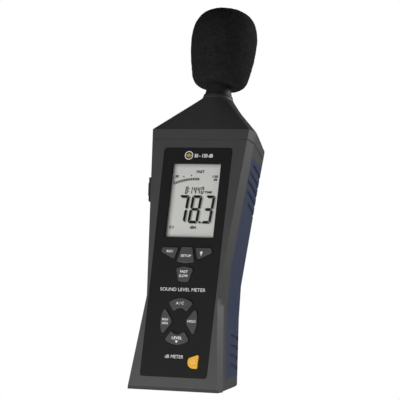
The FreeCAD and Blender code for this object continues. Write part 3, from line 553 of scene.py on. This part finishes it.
# --- the display -------------------------------------------------------------------------------------
DIGIT_SLANT = 0.085   # how far a digit leans to the right for each mm of height
SEGMENTS = {"0": "abcdef", "1": "bc", "3": "abcdg", "4": "bcfg", "7": "abc", "8": "abcdefg"}

window = centre("display_lens")
cell_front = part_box("lcd_glass")[0].y
INK_Y = cell_front - 0.06 * MM
# Depths of the digits' painted shadow, just behind the digits.
SHADE_Y = cell_front - 0.035 * MM
HALF_SHADOW_Y = cell_front - 0.03 * MM


def window_point(x, z):
    """A place in mm about the middle of the window, in metres."""
    return window.x + x * MM, window.z + z * MM


def segment_outlines(digit, width, height, thick):
    """The lit segments of one seven-segment digit, as (x, z) points from its lower left corner."""
    w, h, t, gap = width, height, thick, thick * 0.10
    half = h / 2
    top = [(gap + 0.25 * t, h - 0.25 * t), (0.7 * t, h), (w - 0.7 * t, h), (w - gap - 0.25 * t, h - 0.25 * t),
           (w - t - gap, h - t), (t + gap, h - t)]
    right = [(w - 0.02 * t, h - 0.75 * t), (w - 0.2 * t, h - 0.3 * t - gap), (w - t, h - t - gap),
             (w - t, half + 0.5 * t + gap), (w - 0.55 * t, half + gap), (w - 0.02 * t, half + 0.45 * t)]
    middle = [(0.5 * t + gap, half), (t + gap, half + 0.5 * t), (w - t - gap, half + 0.5 * t),
              (w - 0.5 * t - gap, half), (w - t - gap, half - 0.5 * t), (t + gap, half - 0.5 * t)]

    def turned(outline, flip_x, flip_z):
        return [(w - x if flip_x else x, h - z if flip_z else z) for x, z in outline]

    shapes = {"a": top, "b": right, "c": turned(right, False, True), "d": turned(top, False, True),
              "e": turned(right, True, True), "f": turned(right, True, False), "g": middle}
    return [shapes[letter] for letter in SEGMENTS[digit]]


def display_digits(bm, text, left, low, width, height, thick, pitch, y_front, shift=(0.0, 0.0)):
    """A row of slanting digits. left and low are in mm about the middle of the window."""
    for i, digit in enumerate(text):
        for outline in segment_outlines(digit, width, height, thick):
            points = [window_point(left + i * pitch + x + DIGIT_SLANT * z + shift[0], low + z + shift[1])
                      for x, z in outline]
            slab(bm, points, y_front, CELL_INK_DEPTH)


def display_bar(bm, x, z, width, height, y_front=INK_Y):
    corners = bar_outline(x, z, width / 2, height / 2)
    slab(bm, [window_point(a, b) for a, b in corners], y_front, CELL_INK_DEPTH)


def display_words(bm, words, x, z, width, height):
    a, b = window_point(x, z)
    lettering(bm, words, a, b, width * MM, height * MM, INK_Y, CELL_INK_DEPTH, weight=0.045)


def big_reading(bm, y_front, shift=(0.0, 0.0)):
    """The level: three large digits, and a point before the last one."""
    low, height, thick = -15.6, 19.7, 1.9
    for digit, left, width in (("7", -12.5, 7.7), ("8", -3.15, 7.5), ("3", 6.45, 7.2)):
        display_digits(bm, digit, left, low, width, height, thick, 0.0, y_front, shift)
    display_bar(bm, 5.8 + shift[0], -14.8 + shift[1], 1.4, 1.4, y_front)


def level_reading():
    """The big digits, with two paler copies behind them as their shadow on the cell."""
    for name, material, level, shift in (("reading", LCD_INK, INK_Y, (0.0, 0.0)),
                                         ("reading_shade", LCD_SHADE, SHADE_Y, (0.55, -0.25)),
                                         ("reading_half_shade", LCD_HALF_SHADOW, HALF_SHADOW_Y, (1.0, -0.45))):
        figures = bmesh.new()
        big_reading(figures, level, shift)
        finish_piece(name, figures, material, "case")


def small_readings():
    """The clock with its two colons, and the small words."""
    low, width, height, thick, pitch = 4.9, 2.0, 5.3, 0.72, 2.7
    small = bmesh.new()
    for digits, left in (("8", -7.2), ("14", -4.0), ("40", 1.5)):
        display_digits(small, digits, left, low, width, height, thick, pitch, INK_Y)
    for x, z in ((-4.4, 6.6), (-4.3, 8.5), (1.0, 6.6), (1.1, 8.5)):
        display_bar(small, x, z, 0.65, 0.65)
    for words, x, z, width, height in (("TIME", 9.7, 6.3, 5.6, 1.6), ("FAST", 2.6, 20.7, 5.7, 2.1),
                                       ("dBA", 1.6, -18.4, 5.0, 2.1), ("30", -14.2, 17.3, 2.6, 1.9),
                                       ("130", 13.6, 17.4, 4.0, 1.7), ("dB", 13.9, 15.2, 2.9, 1.5)):
        display_words(small, words, x, z, width, height)
    finish_piece("small_readings", small, LCD_INK, "case")


def bar_graph():
    """Cells along a flat arc, two marks over it, a bar at its left end, and a battery sign."""
    radius, crown = 39.3, 15.6
    cells, first_angle, step = 15, -24.2, 1.85
    scale = bmesh.new()
    for i in range(cells):
        span = [math.radians(first_angle + step * (i + k)) for k in (0.18, 0.82)]
        outline = [(r * math.sin(a), crown - radius + r * math.cos(a))
                   for r, a in ((radius - 1.0, span[0]), (radius - 1.0, span[1]),
                                (radius + 0.8, span[1]), (radius + 0.8, span[0]))]
        slab(scale, [window_point(x, z) for x, z in outline], INK_Y, CELL_INK_DEPTH)
    mark_radius = radius + 2.6
    for angle in (-12.8, -5.2):
        a = math.radians(angle)
        display_bar(scale, mark_radius * math.sin(a), crown - radius + mark_radius * math.cos(a), 0.9, 0.9)
    display_bar(scale, -16.2, 15.0, 0.35, 4.6)
    # The battery sign, in the lower left corner.
    display_bar(scale, -14.3, -17.7, 2.4, 0.3)
    display_bar(scale, -14.3, -19.3, 2.4, 0.3)
    for x, width, height in ((-15.5, 0.3, 1.9), (-13.1, 0.3, 1.9), (-12.7, 0.5, 0.9), (-14.8, 0.8, 0.8)):
        display_bar(scale, x, -18.5, width, height)
    finish_piece("bar_graph", scale, LCD_INK, "case")


level_reading()
small_readings()
bar_graph()


# --- the foam windscreen -----------------------------------------------------------------------------
def foam_ball():
    """The foam's own form at a fine mesh, with soft lumps and cut cells in its skin."""
    source = nodes["windscreen"]
    mesh = source.data.copy()
    mesh.materials.clear()
    ball = bpy.data.objects.new("foam_ball", mesh)
    bpy.context.scene.collection.objects.link(ball)
    remesh = ball.modifiers.new("remesh", "REMESH")
    remesh.mode = "VOXEL"
    remesh.voxel_size = 0.62 * MM
    lumps = bpy.data.textures.new("foam_lumps", "CLOUDS")
    lumps.noise_scale = 3.2 * MM
    cells = bpy.data.textures.new("foam_cells", "CLOUDS")
    cells.noise_scale = 1.1 * MM
    cells.noise_basis = "VORONOI_F1"
    for texture, strength in ((lumps, 0.45), (cells, 0.55)):
        displace = ball.modifiers.new(texture.name, "DISPLACE")
        displace.texture = texture
        displace.texture_coords = "LOCAL"
        displace.strength = strength * MM
        displace.mid_level = 0.6
    bpy.context.view_layer.update()
    done = bpy.data.meshes.new_from_object(ball.evaluated_get(bpy.context.evaluated_depsgraph_get()))
    ball.modifiers.clear()
    ball.data = done
    for face in done.polygons:
        face.use_smooth = True
    set_material(ball, SLOTS["foam"])
    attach(ball, "windscreen_body")
    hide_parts("windscreen")


foam_ball()


# --- floor, light and camera ----------------------------------------------------------------------------
FLOOR_Z = -0.45


def studio_floor():
    bm = bmesh.new()
    bmesh.ops.create_grid(bm, x_segments=12, y_segments=12, size=4.0)
    for vertex in bm.verts:
        vertex.co.z = FLOOR_Z
    mesh = bpy.data.meshes.new("floor")
    bm.to_mesh(mesh)
    bm.free()
    floor = bpy.data.objects.new("floor", mesh)
    bpy.context.scene.collection.objects.link(floor)
    set_material(floor, moulded("floor_pale", (0.82, 0.82, 0.81), rough=0.7, specular=0.2, grain=3.0,
                                depth=0.05, vary=0.015))


def soft_light(name, place, target, side, power):
    """A square lamp of the given side in metres and power in watts, turned towards its target."""
    data = bpy.data.lights.new(name, "AREA")
    data.shape = "RECTANGLE"
    data.size = side
    data.size_y = side
    data.energy = power
    light = bpy.data.objects.new(name, data)
    light.location = place
    light.rotation_mode = "QUATERNION"
    light.rotation_quaternion = (Vector(target) - Vector(place)).to_track_quat("-Z", "Y")
    light.visible_camera = False
    bpy.context.scene.collection.objects.link(light)


def studio_world():
    """White where the camera looks past the object, a softer grey as light on it."""
    world = bpy.data.worlds.new("studio")
    bpy.context.scene.world = world
    world.use_nodes = True
    tree = world.node_tree
    tree.nodes.clear()
    output = tree.nodes.new("ShaderNodeOutputWorld")
    mix = tree.nodes.new("ShaderNodeMixShader")
    path = tree.nodes.new("ShaderNodeLightPath")
    tree.links.new(path.outputs["Is Camera Ray"], mix.inputs[0])
    light_level, seen_level = 0.10, 1.0
    for socket, level in ((1, light_level), (2, seen_level)):
        background = tree.nodes.new("ShaderNodeBackground")
        background.inputs[0].default_value = (level, level, level, 1)
        tree.links.new(background.outputs[0], mix.inputs[socket])
    tree.links.new(mix.outputs[0], output.inputs[0])


studio_floor()
studio_world()
soft_light("key_right", place=(0.98, 0.70, 0.72), target=(0.0, -0.02, -0.04), side=0.4, power=12)
soft_light("fill_front", place=(-0.22, -0.62, -0.28), target=(0.0, -0.03, -0.10), side=0.4, power=3.2)
soft_light("floor_wash", place=(0.0, 0.0, -0.20), target=(0.0, 0.0, FLOOR_Z), side=6.0, power=60)


def studio_camera():
    """In front, below and to the right, with a slight roll, as a long lens sees it."""
    place = Vector((0.45325, -1.21167, -0.28752))
    target = Vector((-0.00434, -0.025, 0.03531))
    data = bpy.data.cameras.new("camera")
    data.lens = 171.0
    data.sensor_width = 36.0
    data.clip_start = 0.05
    data.clip_end = 50.0
    camera = bpy.data.objects.new("camera", data)
    aim = (target - place).to_track_quat("-Z", "Y")
    roll = Quaternion((0, 0, 1), math.radians(6.31))
    camera.matrix_world = Matrix.Translation(place) @ (aim @ roll).to_matrix().to_4x4()
    bpy.context.scene.collection.objects.link(camera)
    bpy.context.scene.camera = camera


studio_camera()
bpy.context.scene.view_settings.view_transform = "Standard"
bpy.context.scene.view_settings.look = "None"
